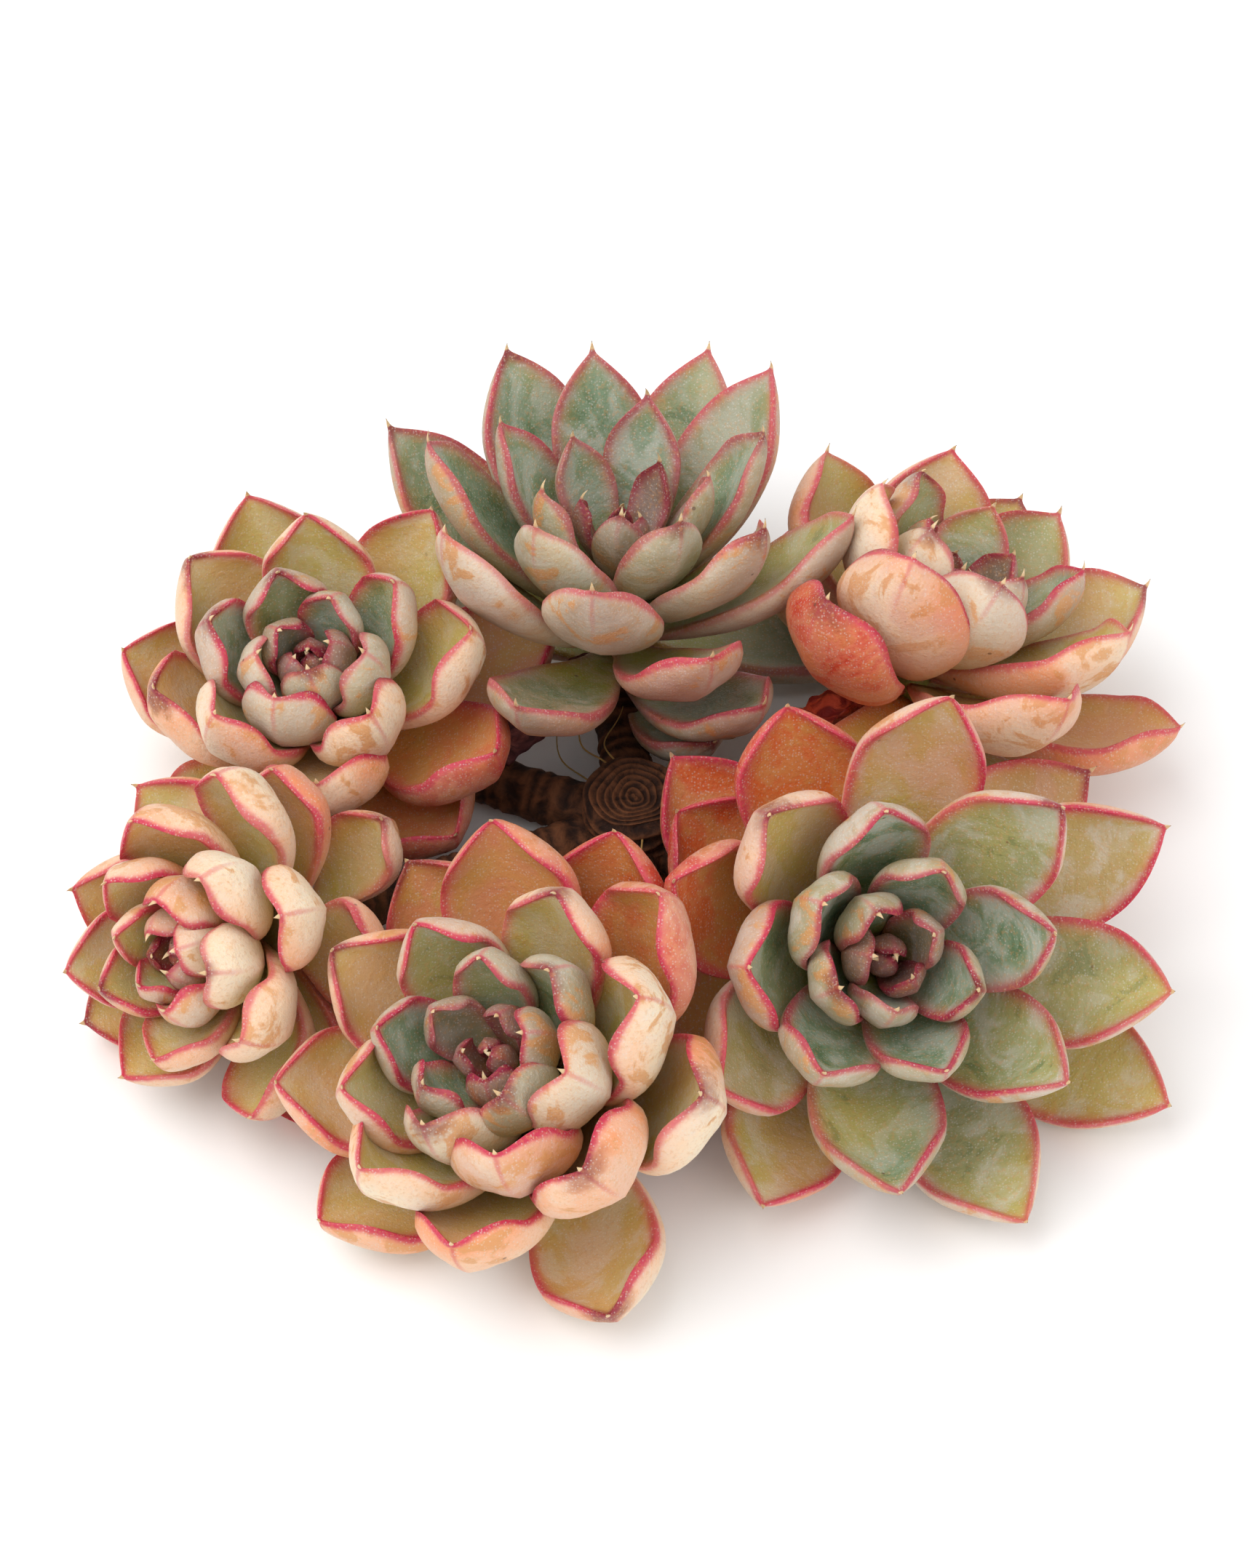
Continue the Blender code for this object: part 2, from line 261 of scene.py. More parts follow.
def leaf_on(rosette, order):
    """Leaf number order of a rosette, 0 at the heart, as the spiral sets it. Bud leaves are below 0."""
    heart, axis, side, other = rosette.frame()
    age = order / (rosette.leaf_count - 1)
    turn = math.radians(rosette.first_turn + rosette.turn_step * order)
    grown = min(1.0, max(age, 0) / FULL_GROWN_AT) ** GROWTH_POWER
    bud_rank = max(0, -order)
    size = (SMALLEST_LEAF_SHARE + (1 - SMALLEST_LEAF_SHARE) * grown) * BUD_SHRINK ** bud_rank
    openness = math.cos(turn - math.radians(rosette.open_side)) * age
    lean = rosette.inner_lean + (rosette.outer_lean - rosette.inner_lean) * age
    foot_share = YOUNGEST_FOOT_SHARE + FOOT_SHARE_GROWTH * age - BUD_FOOT_STEP * bud_rank
    loose = order >= rosette.leaf_count - rosette.loose_leaves
    return Leaf(
        anchor=heart - axis * (LEAF_SPACING * order),
        axis=axis,
        out=side * math.cos(turn) + other * math.sin(turn),
        foot=LOOSE_FOOT_RADIUS if loose else CROWN_RADIUS * max(LEAST_FOOT_SHARE, foot_share),
        length=rosette.leaf_length * MM * size * (1 + rosette.open_length * openness),
        half_width=rosette.leaf_width * MM / 2 * size,
        thickness=LEAF_THICKNESS * (YOUNG_THICKNESS_SHARE + (1 - YOUNG_THICKNESS_SHARE) * size),
        lean=math.radians(lean + rosette.open_lean * openness - BUD_LEAN_STEP * bud_rank),
        curl=math.radians(rosette.curl),
        age=max(age, 0.0),
    )


def tip_reach(curl):
    """Reach along the axis and outwards of a leaf of length 1 that starts straight up its axis."""
    lean = -curl * ((np.arange(PATH_STEPS) + 0.5) / PATH_STEPS) ** CURL_POWER
    return np.cos(lean).sum() / PATH_STEPS, np.sin(lean).sum() / PATH_STEPS


def node_points(name):
    """The points of a CAD node where it stands, each once."""
    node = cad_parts[name]
    points = np.empty(len(node.data.vertices) * 3)
    node.data.vertices.foreach_get("co", points)
    placed = points.reshape(-1, 3) @ np.array(node.matrix_world.to_3x3()).T
    return np.unique((placed + np.array(node.matrix_world.translation)).round(7), axis=0)


def as_settled(leaf, node):
    """The leaf turned, leant and sized as its CAD node is."""
    points = node_points(node)
    middle = points.mean(axis=0) - leaf.anchor
    out = middle - leaf.axis * (middle @ leaf.axis)
    out /= np.linalg.norm(out)
    reach = points - (leaf.anchor + out * leaf.foot)
    tip = reach[np.argmax(np.linalg.norm(reach, axis=1))]
    rise, spread = tip_reach(leaf.curl)
    return replace(
        leaf,
        out=out,
        lean=math.atan2(tip @ out, tip @ leaf.axis) - math.atan2(spread, rise),
        length=np.linalg.norm(tip) / math.hypot(rise, spread),
    )


def smooth(low, high, value):
    """A smooth step from 0 at low to 1 at high."""
    share = np.clip((value - low) / (high - low), 0, 1)
    return share * share * (3 - 2 * share)


def closed_tube(rings):
    """Points and faces of a tube over rings of equal count, closed by a point at each end."""
    count, around = rings.shape[:2]
    ends = np.array([rings[0].mean(axis=0), rings[-1].mean(axis=0)])
    points = np.concatenate([rings.reshape(-1, 3), ends])
    start = (np.arange(count - 1) * around)[:, None]
    k = np.arange(around)[None, :]
    following = (k + 1) % around
    quads = np.stack(
        [start + k, start + around + k, start + around + following, start + following], axis=-1)
    first = count * around
    last = (count - 1) * around
    faces = quads.reshape(-1, 4).tolist()
    faces += [(first, a, (a + 1) % around) for a in range(around)]
    faces += [(first + 1, last + (a + 1) % around, last + a) for a in range(around)]
    return points, faces


class Skin:
    """A mesh in the making: points, faces and the values that its material reads at each point."""

    def __init__(self):
        self.points = []
        self.faces = []
        self.values = {}
        self.count = 0

    def add(self, points, faces, **values):
        """Add a shape, kept above the ground. values are vectors: one for all points or one for each."""
        points = points.copy()
        points[:, 2] = np.maximum(points[:, 2], 0)
        self.points.append(points)
        self.faces += [tuple(self.count + index for index in face) for face in faces]
        self.count += len(points)
        for key, value in values.items():
            full = np.broadcast_to(np.asarray(value, dtype=float), (len(points), 3))
            self.values.setdefault(key, []).append(full)

    def tree(self):
        """The shape as it is so far, to test others against."""
        return BVHTree.FromPolygons(np.concatenate(self.points).tolist(), self.faces)

    def piece(self, name, material, slot, *nodes):
        """Put the mesh in the scene, on the plant's body, in place of the CAD nodes if any are named."""
        mesh = bpy.data.meshes.new(name)
        mesh.from_pydata(np.concatenate(self.points).tolist(), [], self.faces)
        for key, value in self.values.items():
            attribute = mesh.attributes.new(key, "FLOAT_VECTOR", "POINT")
            attribute.data.foreach_set("vector", np.concatenate(value).ravel())
        mesh.shade_smooth()
        mesh.materials.append(material)
        obj = bpy.data.objects.new(name, mesh)
        bpy.context.scene.collection.objects.link(obj)
        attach(obj, ROOT)
        if nodes:
            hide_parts(*nodes)


def width_share(along, widest, power):
    """The share of its full width that a leaf has, which is whole at widest and closes at the tip."""
    rise = FOOT_WIDTH_SHARE + (1 - FOOT_WIDTH_SHARE) * np.sin(
        np.pi / 2 * np.clip(along / widest, 0, 1)) ** FOOT_FLARE
    past = np.clip((along - widest) / (1 - widest), 0, 1)
    return np.where(along <= widest, rise, (1 - past ** SHOULDER_POWER) ** power)


def leaf_line(leaf, along, end, rng):
    """The centre at each station of a curling leaf, and the directions across it and up its face."""
    fine = np.linspace(0, end, LINE_STEPS + 1)
    hook = math.radians(rng.uniform(*TIP_HOOK)) * smooth(1 - 0.4 * (end - 1), end, fine)
    fine_lean = leaf.lean - leaf.curl * fine ** CURL_POWER - hook
    middle = (fine_lean[1:] + fine_lean[:-1]) / 2
    step = leaf.length * end / LINE_STEPS
    rise = np.concatenate([[0], np.cumsum(np.cos(middle))]) * step
    spread = np.concatenate([[0], np.cumsum(np.sin(middle))]) * step
    side = np.cross(leaf.axis, leaf.out)
    bow = leaf.length * rng.normal(0, BOW_SHARE) * along ** 2
    centre = (leaf.root() + np.outer(np.interp(along, fine, rise), leaf.axis)
              + np.outer(np.interp(along, fine, spread), leaf.out) + np.outer(bow, side))
    lean = np.interp(along, fine, fine_lean)
    up = np.outer(np.sin(lean), leaf.axis) - np.outer(np.cos(lean), leaf.out)
    twist = math.radians(rng.normal(0, TWIST)) * along[:, None]
    across = side * np.cos(twist) + up * np.sin(twist)
    return centre, across, up * np.cos(twist) - side * np.sin(twist)


def leaf_outline(leaf, look, along, taper, rng):
    """Half width, depth of the back and rise of the rim at each station, as columns."""
    power = look.tip_power * rng.uniform(0.92, 1.08)
    share = width_share(along, WIDEST_AT + rng.normal(0, 0.02), power)
    wobble = 1 + rng.normal(0, 0.02) * np.sin(along * rng.uniform(5, 11) + rng.uniform(0, 6))
    half = np.hypot(leaf.half_width * share * wobble, MUCRO_RADIUS * taper)
    past = np.clip((along - THICKEST_AT) / (1 - THICKEST_AT), 0, 1)
    rise = FOOT_THICKNESS_SHARE + (1 - FOOT_THICKNESS_SHARE) * np.sin(
        np.pi / 2 * np.clip(along / THICKEST_AT, 0, 1))
    thick = leaf.thickness * look.fatness * np.where(past > 0, (1 - past ** 2.4) ** 0.7, rise)
    deep = np.hypot(thick, MUCRO_RADIUS * taper)
    cup = look.cup[0] + (look.cup[1] - look.cup[0]) * leaf.age
    rim = leaf.half_width * RIM_RISE * cup * rng.uniform(0.8, 1.2) * share * smooth(0, 0.3, along)
    rim *= 1 + TIP_FOLD * smooth(0.7, 0.95, along)
    return half[:, None], deep[:, None], rim[:, None]


def leaf_section(look, s, half, deep, rim, rng):
    """Each station's points, as distances across and up, round the face and back under it.

    s, half, deep and rim are columns over the stations. The third result is place: the distance from
    the rim in millimetres, above 0 on the face and below 0 on the back, then s, then the distance
    from the keel in millimetres.
    """
    q = np.sin(np.pi / 2 * np.linspace(-1, 1, UPPER_POINTS))[None, :]
    theta = np.linspace(0, np.pi, LOWER_POINTS + 2)[1:-1][None, :]
    wave = rng.uniform(0.15, 0.65, 2) * MM
    pace = rng.uniform(5, 13, 2)
    phase = rng.uniform(0, 6, 2)
    ripple = [wave[i] * np.sin(s * pace[i] + phase[i]) * smooth(0.2, 0.6, s) * (1 - smooth(0.9, 1, s))
              for i in (0, 1)]

    margin = np.minimum(RIM_RADIUS, half * 0.3)
    start = 1 - 2 * margin / half
    upper_x = look.rim_inset * half * q
    upper_z = rim * np.abs(q) ** 2.2 - margin * np.clip((np.abs(q) - start) / (1 - start), 0, 1) ** 2
    upper_z = upper_z + np.where(q > 0, ripple[0], ripple[1]) * q ** 4

    lower_cos = np.cos(theta)
    lower_sin = np.sin(theta)
    bulge = look.rim_inset + (1 - look.rim_inset) * np.minimum(1, 3 * lower_sin)
    lower_x = half * np.sign(lower_cos) * np.abs(lower_cos) ** 0.85 * bulge
    top = rim - margin
    keel = deep * KEEL_DEPTH * np.exp(-(lower_cos / KEEL_WIDTH) ** 2)
    keel = keel * smooth(0.3, 0.75, s) * (1 - smooth(0.97, 1, s))
    lower_z = top - (top + deep) * lower_sin ** 0.95 - keel
    lower_z = lower_z + np.where(lower_cos > 0, ripple[0], ripple[1]) * np.abs(lower_cos) ** 6

    upper_edge = (1 - np.abs(q)) * half / MM
    lower_edge = -np.hypot(half * (1 - np.abs(lower_cos)), top - lower_z) / MM
    edge = np.concatenate([upper_edge, lower_edge], axis=1)
    from_keel = np.concatenate([np.full_like(upper_x, FAR_FROM_KEEL), np.abs(lower_x) / MM], axis=1)
    place = np.stack([edge, np.broadcast_to(s, edge.shape), from_keel], axis=-1)
    x = np.concatenate([upper_x, lower_x], axis=1)
    z = np.concatenate([upper_z, lower_z], axis=1)
    return x[:, :, None], z[:, :, None], place


def leaf_tints(leaf, look, rng):
    """tone is greenness, warmth and age. trait is a random number, crimson and bloom."""
    spot = leaf.root() + leaf.out * math.sin(leaf.lean) * leaf.length * WARM_AT
    near = math.exp(-((np.linalg.norm(spot[:2] - WARM_PLACE) / WARM_REACH) ** 2))
    glow = near * smooth(0.45, 0.8, leaf.age) * look.glow
    warm = np.clip(look.warm * leaf.age + glow + rng.normal(0, 0.06), 0, 1)
    green = look.green[0] + (look.green[1] - look.green[0]) * smooth(0.15, 0.75, leaf.age)
    green = np.clip(green + rng.normal(0, 0.08) - 0.5 * glow, 0, 1)
    seed = rng.uniform(0, 1)
    crimson = look.crimson * rng.uniform(0.85, 1.1)
    return (green, warm, leaf.age), (seed, crimson, look.bloom * rng.uniform(0.6, 1.3))


def add_leaf(skin, leaf, look, rng, stations=FULL_STATIONS):
    """One fine leaf: hollowed above, bulging past its rim below, ending in a small spike."""
    end = 1 + look.mucro * MM * rng.uniform(0.6, 1.3) / leaf.length
    body = 1 - (1 - np.linspace(0, 1, stations)) ** STATION_POWER
    spike = 1 + (end - 1) * (np.arange(1, MUCRO_STATIONS + 1) / MUCRO_STATIONS)
    along = np.concatenate([body, spike])
    taper = np.clip((end - along) / (end - 1), MUCRO_END_SHARE, 1)
    centre, across, up = leaf_line(leaf, along, end, rng)
    half, deep, rim = leaf_outline(leaf, look, along, taper, rng)
    x, z, place = leaf_section(look, along[:, None], half, deep, rim, rng)
    points, faces = closed_tube(centre[:, None, :] + across[:, None, :] * x + up[:, None, :] * z)
    place = np.concatenate([place.reshape(-1, 3), [place[0, 0]], [[0, end, FAR_FROM_KEEL]]])
    place[:, 1] = np.where(place[:, 1] > 1, 1 + (place[:, 1] - 1) / (end - 1), place[:, 1])
    tone, trait = leaf_tints(leaf, look, rng)
    skin.add(points, faces, place=place, tone=tone, trait=trait)


def tube_rings(path, radii, around):
    """Rings square to a path, carried along it without twist. radii may differ round each ring."""
    ahead = np.gradient(path, axis=0)
    ahead /= np.linalg.norm(ahead, axis=1)[:, None]
    across = np.cross((0, 0, 1.0), ahead[0])
    if np.linalg.norm(across) < 0.1:
        across = np.array((1.0, 0, 0))
    turn = np.linspace(0, 2 * np.pi, around, endpoint=False)
    rings = []
    for place, forward, radius in zip(path, ahead, radii):
        across = across - forward * (across @ forward)
        across /= np.linalg.norm(across)
        other = np.cross(forward, across)
        spokes = np.outer(np.cos(turn), across) + np.outer(np.sin(turn), other)
        rings.append(place + spokes * np.broadcast_to(radius, around)[:, None])
    return np.array(rings)


def add_crown(skin, rosette):
    """The green neck that carries a head's leaves down to its branch."""
    heart, axis, _, _ = rosette.frame()
    down = np.linspace(-0.02, 1, CROWN_STATIONS)
    path = heart - np.outer(down * rosette.crown_length(), axis)
    ridge = CROWN_RIDGE * np.sin(down * rosette.crown_length() / CROWN_RIDGE_SPACING * 2 * np.pi)
    radii = CROWN_RADIUS * np.sqrt(np.clip(down * 3 + 0.1, 0.02, 1)) + ridge
    points, faces = closed_tube(tube_rings(path, radii, CROWN_POINTS)[::-1])
    far_from_rim, near_foot = 6.0, 0.05
    skin.add(points, faces, place=(far_from_rim, near_foot, FAR_FROM_KEEL),
             tone=(0.6, 0.1, 0.8), trait=(0.5, 0.0, 0.2))


# Materials

# How far light goes into flesh, and what share of that red, green and blue go
FLESH_DEPTH = 1.6 * MM
FLESH_REACH = (1.0, 0.5, 0.25)

# Each leaf has a random number. It sets its noises apart from others', and scorches some tips.
SEED_SPREAD = 40.0
SCORCHED_ABOVE = 0.76

# How high the bumps of each skin stand
LEAF_RELIEF = 0.25 * MM
BARK_RELIEF = 0.5 * MM
DRY_RELIEF = 0.5 * MM
HAIR_RELIEF = 0.05 * MM


def linear(red, green, blue):
    """A colour as a screen shows it, 0 to 255, as the linear light that shaders take."""
    shares = (value / 255 for value in (red, green, blue))
    return tuple(x / 12.92 if x <= 0.04045 else ((x + 0.055) / 1.055) ** 2.4 for x in shares) + (1.0,)


class Shade:
    """A short way to write a node tree on a Principled shader."""

    def __init__(self, name, specular, subsurface=0.0):
        self.material = bpy.data.materials.new(name)
        self.material.use_nodes = True
        self.tree = self.material.node_tree
        self.shader = self.tree.nodes["Principled BSDF"]
        self.shader.inputs["Specular IOR Level"].default_value = specular
        self.shader.inputs["Subsurface Weight"].default_value = subsurface
        self.shader.inputs["Subsurface Radius"].default_value = FLESH_REACH
        self.shader.inputs["Subsurface Scale"].default_value = FLESH_DEPTH
        self.place = self.node("ShaderNodeTexCoord").outputs["Object"]

    def node(self, kind, **settings):
        made = self.tree.nodes.new(kind)
        for key, value in settings.items():
            setattr(made, key, value)
        return made

    def plug(self, socket, value):
        """Link a socket, or set a plain value."""
        if isinstance(value, bpy.types.NodeSocket):
            self.tree.links.new(value, socket)
        else:
            socket.default_value = value

    def math(self, operation, a, b=0.0, c=0.0):
        made = self.node("ShaderNodeMath", operation=operation)
        for socket, value in zip(made.inputs, (a, b, c)):
            self.plug(socket, value)
        return made.outputs[0]

    def times(self, a, b):
        return self.math("MULTIPLY", a, b)

    def plus(self, a, b):
        return self.math("ADD", a, b)

    def stray(self, value, noise, reach):
        """value, moved by a noise that runs from 0 to 1 by up to half of reach either way."""
        return self.plus(value, self.times(self.math("SUBTRACT", noise, 0.5), reach))

    def ramp(self, value, low, high, to_low=0.0, to_high=1.0):
        """A smooth step from to_low at low to to_high at high."""
        made = self.node("ShaderNodeMapRange", interpolation_type="SMOOTHSTEP")
        if low > high:
            low, high, to_low, to_high = high, low, to_high, to_low
        for socket, number in zip(made.inputs, (value, low, high, to_low, to_high)):
            self.plug(socket, number)
        return made.outputs[0]

    def mix(self, share, a, b):
        """Colour a, with this share of colour b."""
        made = self.node("ShaderNodeMix", data_type="RGBA")
        self.plug(made.inputs[0], share)
        self.plug(made.inputs[6], a)
        self.plug(made.inputs[7], b)
        return made.outputs[2]

    def noise(self, scale, detail=3.0, rough=0.55, distortion=0.0, seed=None):
        """A noise of scale waves to the metre, its own for each seed."""
        made = self.node("ShaderNodeTexNoise", noise_dimensions="4D" if seed is not None else "3D")
        self.plug(made.inputs["Vector"], self.place)
        if seed is not None:
            self.plug(made.inputs["W"], seed)
        made.inputs["Scale"].default_value = scale
        made.inputs["Detail"].default_value = detail
        made.inputs["Roughness"].default_value = rough
        made.inputs["Distortion"].default_value = distortion
        return made.outputs["Fac"]

    def specks(self, scale):
        """Distance from the nearest of many scattered points, and a random number for each."""
        made = self.node("ShaderNodeTexVoronoi")
        self.plug(made.inputs["Vector"], self.place)
        made.inputs["Scale"].default_value = scale
        parts = self.node("ShaderNodeSeparateColor")
        self.plug(parts.inputs[0], made.outputs["Color"])
        return made.outputs["Distance"], parts.outputs[0]

    def values(self, name):
        """The three numbers of a vector that the mesh holds at each point."""
        made = self.node("ShaderNodeAttribute", attribute_name=name)
        parts = self.node("ShaderNodeSeparateXYZ")
        self.plug(parts.inputs[0], made.outputs["Vector"])
        return parts.outputs

    def finish(self, color, rough, height, depth):
        """Wire the skin up. height is from 0 to about 1, and 1 stands for depth in metres."""
        self.plug(self.shader.inputs["Base Color"], color)
        self.plug(self.shader.inputs["Roughness"], rough)
        bump = self.node("ShaderNodeBump")
        bump.inputs["Strength"].default_value = 1.0
        bump.inputs["Distance"].default_value = depth
        self.plug(bump.inputs["Height"], height)
        self.plug(self.shader.inputs["Normal"], bump.outputs[0])
        return self.material


GREY_GREEN = linear(116, 138, 108)
DEEP_GREEN = linear(66, 100, 58)
OLIVE_BACK = linear(158, 160, 112)
OLIVE = linear(186, 172, 98)
PEACH_FACE = linear(216, 168, 118)
OCHRE = linear(196, 158, 74)
YELLOW_GREEN = linear(160, 168, 48)
CREAM = linear(232, 214, 184)
MAUVE_BACK = linear(170, 154, 142)
TAN = linear(206, 146, 86)
PEACH = linear(228, 138, 84)
RED_ORANGE = linear(190, 48, 24)
ORANGE = linear(214, 124, 40)
CRIMSON = linear(192, 48, 76)
DEEP_CRIMSON = linear(132, 30, 58)
PINK = linear(214, 112, 112)
BEIGE = linear(214, 184, 142)
SCAB = linear(96, 62, 48)
SCORCH = linear(112, 36, 40)
BLOOM = linear(214, 210, 202)


def leaf_material(name):
    """Waxy leaf skin: green under bloom inside, cream to peach on the back, crimson along the rim.

    edge and keel are distances in millimetres, and edge is below 0 on the back. along is 0 at the
    foot, 1 at the tip and 2 at the end of the spike. The rest run from 0 to 1.
    """
    shade = Shade(name, specular=0.45, subsurface=0.12)
    edge, along, keel = shade.values("place")
    green, warm, age = shade.values("tone")
    seed, crimson, bloom = shade.values("trait")
    scorched = shade.math("GREATER_THAN", seed, SCORCHED_ABOVE)
    seed = shade.times(seed, SEED_SPREAD)
    broad = shade.noise(45, 2, 0.5, 0.0, seed)
    patch = shade.noise(120, 4, 0.6, 1.2, seed)
    grain = shade.noise(520, 3, 0.6, 0.4, seed)
    dust = shade.noise(1700, 3, 0.7)
    upper = shade.ramp(edge, -0.25, 0.15)

    # The face
    greenness = shade.stray(green, broad, 1.3)
    face = shade.mix(shade.ramp(greenness, 0.25, 0.95), OLIVE, GREY_GREEN)
    warm_face = shade.times(shade.ramp(broad, 0.35, 0.65), shade.ramp(green, 0.75, 0.1))
    face = shade.mix(shade.times(warm_face, 0.8), face, PEACH_FACE)
    rubbed = shade.times(shade.ramp(patch, 0.58, 0.63), shade.ramp(green, 0.3, 0.8))
    face = shade.mix(shade.times(rubbed, 0.5), face, DEEP_GREEN)
    band = shade.times(shade.ramp(edge, 5.0, 0.5), shade.ramp(patch, 0.42, 0.6))
    face = shade.mix(shade.times(band, shade.ramp(green, 1.1, 0.2, 0.2, 0.7)), face, OCHRE)
    foot = shade.times(shade.ramp(along, 0.5, 0.15), shade.ramp(green, 0.3, 0.8, 0.3, 0.85))
    face = shade.mix(foot, face, YELLOW_GREEN)

    # The back
    back = shade.mix(shade.ramp(greenness, 0.2, 0.9, 0.0, 0.95), CREAM, MAUVE_BACK)
    back = shade.mix(shade.ramp(green, 0.55, 1.0, 0.0, 0.6), back, OLIVE_BACK)
    near_rim = shade.ramp(shade.stray(edge, patch, 5.0), -8.0, -0.5)
    blush = shade.math("MULTIPLY_ADD", shade.ramp(broad, 0.44, 0.64), 0.6, shade.times(near_rim, 0.4))
    back = shade.mix(shade.times(blush, shade.ramp(green, 0.85, 0.1, 0.12, 0.9)), back, PEACH)
    scuffs = shade.times(shade.ramp(patch, 0.55, 0.61), shade.ramp(along, 0.3, 0.9, 0.15, 0.75))
    back = shade.mix(scuffs, back, TAN)
    color = shade.mix(upper, back, face)

    # Bloom, and the glow of the leaves round the stump
    whitened = shade.times(shade.ramp(patch, 0.56, 0.4), bloom)
    color = shade.mix(shade.times(whitened, 0.6), color, BLOOM)
    glow = shade.ramp(shade.stray(warm, broad, 0.6), 0.1, 0.8)
    redness = shade.plus(shade.ramp(along, 0.15, 0.9, 0.0, 0.6), shade.ramp(edge, 4.0, 0.0, 0.0, 0.4))
    hot = shade.mix(redness, ORANGE, RED_ORANGE)
    color = shade.mix(shade.times(glow, shade.ramp(patch, 0.62, 0.4, 0.55, 0.98)), color, hot)

    # Rim, keel, bud and scorched tip
    ragged = shade.stray(edge, grain, 0.9)
    tipward = shade.ramp(along, 0.1, 0.85, 0.4, 1.0)
    uneven = shade.times(tipward, shade.ramp(broad, 0.3, 0.6, 0.6, 1.0))
    halo = shade.times(shade.ramp(ragged, 3.0, 0.2), shade.ramp(ragged, -1.8, -0.3))
    color = shade.mix(shade.times(shade.times(halo, crimson), shade.times(uneven, 0.6)), color, PINK)
    line = shade.times(shade.ramp(ragged, 1.7, 0.3), shade.ramp(ragged, -1.2, -0.3))
    red = shade.mix(shade.ramp(green, 0.55, 1.0, 0.0, 0.6), CRIMSON, DEEP_CRIMSON)
    color = shade.mix(shade.times(shade.times(line, uneven), crimson), color, red)
    near_keel = shade.ramp(shade.stray(keel, grain, 0.7), 0.6, 0.05)
    keel_line = shade.times(near_keel, shade.ramp(along, 0.72, 1.0))
    color = shade.mix(shade.times(keel_line, shade.times(crimson, 0.5)), color, CRIMSON)
    bud = shade.ramp(age, 0.14, 0.0)
    color = shade.mix(shade.times(bud, 0.6), color, DEEP_CRIMSON)
    burnt = shade.times(shade.ramp(shade.stray(along, patch, 0.2), 0.9, 1.0), scorched)
    color = shade.mix(shade.times(burnt, shade.ramp(edge, 3.0, 0.5, 0.1, 0.75)), color, SCORCH)

    # Spike, pale dots, dust and dark spots
    color = shade.mix(shade.ramp(along, 1.02, 1.3), color, BEIGE)
    color = shade.mix(shade.ramp(along, 1.75, 2.0), color, SCAB)
    dot, dot_pick = shade.specks(2600)
    pale = shade.times(shade.ramp(dot, 0.45, 0.16), shade.ramp(dot_pick, 0.25, 0.6))
    color = shade.mix(shade.times(pale, 0.38), color, BLOOM)
    color = shade.mix(shade.ramp(dust, 0.5, 0.66, 0.0, 0.3), color, TAN)
    spot, spot_pick = shade.specks(240)
    dark = shade.times(shade.ramp(spot, 0.09, 0.05), shade.ramp(spot_pick, 0.84, 0.88))
    color = shade.mix(shade.times(dark, 0.7), color, SCAB)

    rough = shade.plus(shade.ramp(patch, 0.6, 0.45, 0.4, 0.58), shade.times(dust, 0.08))
    fine_relief = shade.plus(shade.times(dust, 0.5), shade.times(patch, 0.9))
    height = shade.plus(shade.times(grain, 0.5), fine_relief)
    return shade.finish(color, rough, height, LEAF_RELIEF)


BARK_DARK = linear(38, 22, 16)
BARK_LIGHT = linear(112, 70, 44)
NECK_GREEN = linear(142, 134, 72)


def bark_material():
    """Scarred bark. place holds the height of the scars' ridges and the greenness."""
    shade = Shade("woody_bark", specular=0.25)
    ridge, young, _ = shade.values("place")
    grain = shade.noise(420, 5, 0.65, 0.6)
    flake = shade.noise(140, 4, 0.6, 1.5)
    light = shade.math("MULTIPLY_ADD", ridge, 0.25, shade.times(grain, 0.8))
    color = shade.mix(shade.ramp(light, 0.3, 0.75), BARK_DARK, BARK_LIGHT)
    color = shade.mix(shade.times(young, shade.ramp(flake, 0.35, 0.6)), color, NECK_GREEN)
    rough = shade.ramp(flake, 0.3, 0.7, 0.75, 0.95)
    height = shade.plus(grain, shade.times(flake, 0.8))
    return shade.finish(color, rough, height, BARK_RELIEF)


def dry_material(name, dark, light):
    """A dried leaf: brown creases over a paler skin, darker at the edge."""
    shade = Shade(name, specular=0.3, subsurface=0.1)
    edge, _, _ = shade.values("place")
    crease = shade.noise(260, 5, 0.65, 1.6)
    blotch = shade.noise(90, 3, 0.55, 0.6)
    color = shade.mix(shade.ramp(crease, 0.38, 0.62), dark, light)
    color = shade.mix(shade.ramp(blotch, 0.55, 0.7, 0.0, 0.55), color, BEIGE)
    color = shade.mix(shade.times(shade.ramp(edge, 1.2, 0.2), 0.6), color, dark)
    rough = shade.ramp(blotch, 0.35, 0.65, 0.55, 0.8)
    return shade.finish(color, rough, crease, DRY_RELIEF)


def hair_material():
    """Straw-coloured roots."""
    shade = Shade("root_hair", specular=0.3)
    tint = shade.noise(300, 2)
    color = shade.mix(tint, linear(196, 164, 96), linear(122, 86, 48))
    return shade.finish(color, shade.ramp(tint, 0.2, 0.8, 0.6, 0.8), tint, HAIR_RELIEF)


# Stem, dried leaves and root hairs

def branch_path(rosette):
    """A branch's centre line, from inside the stump to a crown's foot, and the share travelled."""
    heart, axis, _, _ = rosette.frame()
    end = heart - axis * rosette.crown_length()
    start = STUMP_PLACE + np.array((0, 0, STUMP_HEIGHT * BRANCH_START_SHARE))
    bend = end - axis * (np.linalg.norm(end - start) * BRANCH_RISE_SHARE)
    bend[2] = max(bend[2], BRANCH_ROOT_RADIUS)
    share = np.linspace(0, 1, BRANCH_STATIONS)[:, None]
    return start * (1 - share) ** 2 + bend * (2 * share * (1 - share)) + end * share ** 2, share


